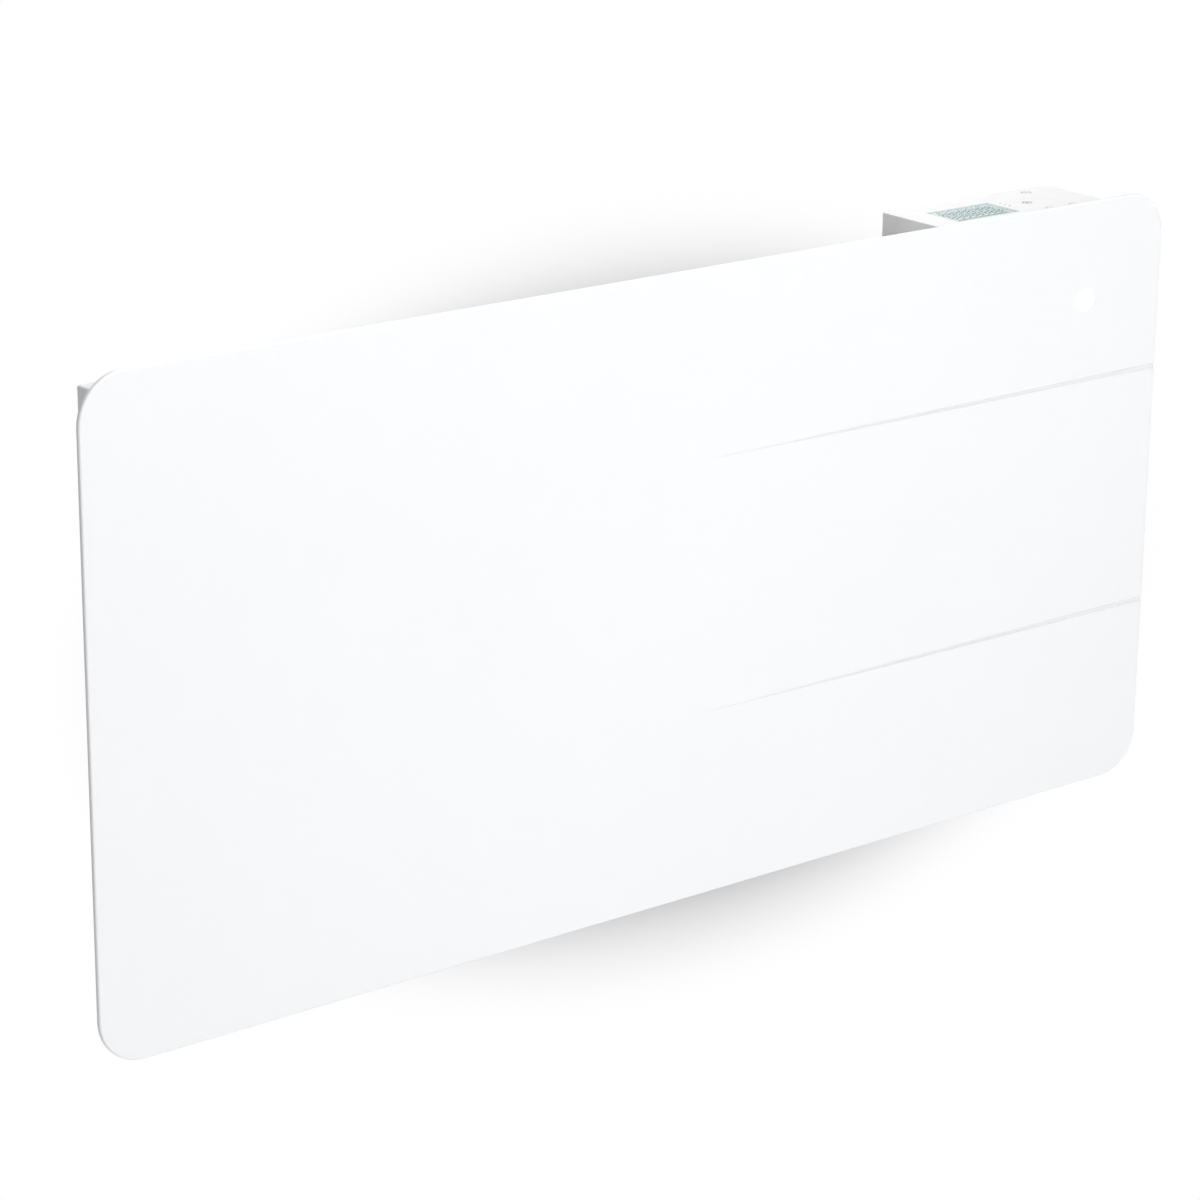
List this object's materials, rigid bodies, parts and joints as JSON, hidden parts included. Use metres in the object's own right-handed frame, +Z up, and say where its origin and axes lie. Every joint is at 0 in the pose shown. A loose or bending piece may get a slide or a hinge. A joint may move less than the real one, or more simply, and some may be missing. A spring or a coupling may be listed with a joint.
{
  "type": "electric panel heater",
  "caption": "Wall-hung flat electric panel heater: thin round-cornered front sheet with tapering grooves, rear casing, top controller with display and keys, hook rails with turning locks.",
  "frame": {"origin": "centre of the four wall holes, on the wall plane, at the middle of the panel's height and width", "axes": "+X along the panel to the right seen from the room, +Y into the wall, +Z up; the front panel faces -Y"},
  "size_m": [1.016, 0.09, 0.5],
  "materials": {
    "panel_white": "satin",
    "casing_white": "satin",
    "box_white": "satin",
    "key_white": "satin",
    "lens_white": "gloss",
    "window_clear": "gloss",
    "lcd_face": "satin",
    "backlight_white": "matte",
    "pipe_clear": "gloss",
    "pipe_amber": "gloss",
    "pipe_red": "gloss",
    "board_green": "satin",
    "black_plastic": "satin",
    "part_blue": "gloss",
    "terminal_grey": "matte",
    "zinc_steel": "satin",
    "screw_zinc": "satin",
    "raw_aluminium": "satin",
    "transformer_iron": "matte",
    "heater_steel": "satin",
    "white_ceramic": "matte",
    "mineral_board": "matte",
    "grey_rubber": "matte",
    "lead_grey": "matte",
    "lead_red": "matte",
    "lead_white": "matte"
  },
  "bodies": {
    "heater": {"front_panel": "panel_white", "panel_nuts": "screw_zinc", "casing_screws": "screw_zinc", "radiant_foil": "raw_aluminium", "insulation_board": "mineral_board", "reflector_tray": "raw_aluminium", "casing_back": "casing_white", "casing_top": "casing_white", "casing_bottom": "casing_white", "casing_left": "casing_white", "casing_right": "casing_white", "bay_partition": "casing_white", "wire_grommet": "grey_rubber", "cable_gland": "black_plastic", "gland_nut": "black_plastic", "element_profile": "raw_aluminium", "element_rod": "heater_steel", "element_bushes": "white_ceramic", "element_brackets": "zinc_steel", "thermal_cutout": "white_ceramic", "air_probe": "heater_steel", "probe_clip": "backlight_white", "supply_lead": "lead_grey", "element_leads": "lead_red", "foil_leads": "lead_white", "probe_lead": "lead_grey", "controller_housing": "box_white", "controller_cover": "box_white", "cover_screws": "screw_zinc", "controller_screws": "screw_zinc", "lcd_window": "window_clear", "lcd_glass": "lcd_face", "lcd_backlight": "backlight_white", "indicator_leds": "backlight_white", "control_board": "board_green", "board_screws": "screw_zinc", "key_switches": "black_plastic", "power_board": "board_green", "relay": "part_blue", "transformer": "transformer_iron", "terminal_block": "terminal_grey", "power_switch_frame": "black_plastic", "sensor_lens": "lens_white", "sensor_holder": "black_plastic", "sensor_board": "board_green", "presence_sensor": "heater_steel", "wall_rail_left": "zinc_steel", "wall_rail_right": "zinc_steel", "bracket_crossbar": "zinc_steel", "bar_rivets": "raw_aluminium", "light_pipe_clear": "pipe_clear", "light_pipe_amber": "pipe_amber", "light_pipe_red": "pipe_red"},
    "key_power": {"key_power": "key_white"},
    "key_menu": {"key_menu": "key_white"},
    "key_minus": {"key_minus": "key_white"},
    "key_plus": {"key_plus": "key_white"},
    "power_rocker": {"power_rocker": "black_plastic"},
    "lock_left": {"lock_left": "screw_zinc"},
    "lock_right": {"lock_right": "screw_zinc"}
  },
  "joints": [
    {"name": "key_power_press", "type": "slide", "parent": "heater", "child": "key_power", "axis": [0, 0, -1], "range_m": [0, 0.0008], "stiffness_N_per_m": 2000},
    {"name": "key_menu_press", "type": "slide", "parent": "heater", "child": "key_menu", "axis": [0, 0, -1], "range_m": [0, 0.0008], "stiffness_N_per_m": 2000},
    {"name": "key_minus_press", "type": "slide", "parent": "heater", "child": "key_minus", "axis": [0, 0, -1], "range_m": [0, 0.0008], "stiffness_N_per_m": 2000},
    {"name": "key_plus_press", "type": "slide", "parent": "heater", "child": "key_plus", "axis": [0, 0, -1], "range_m": [0, 0.0008], "stiffness_N_per_m": 2000},
    {"name": "power_rocker_tilt", "type": "hinge", "parent": "heater", "child": "power_rocker", "pos_m": [0.456, -0.05, 0.2348], "axis": [0, 0, 1], "range_deg": [0, 20]},
    {"name": "lock_left_turn", "type": "hinge", "parent": "heater", "child": "lock_left", "pos_m": [-0.25, -0.014, 0.2125], "axis": [0, 0, 1], "range_deg": [0, 90]},
    {"name": "lock_right_turn", "type": "hinge", "parent": "heater", "child": "lock_right", "pos_m": [0.25, -0.014, 0.2125], "axis": [0, 0, 1], "range_deg": [-90, 0]}
  ]
}
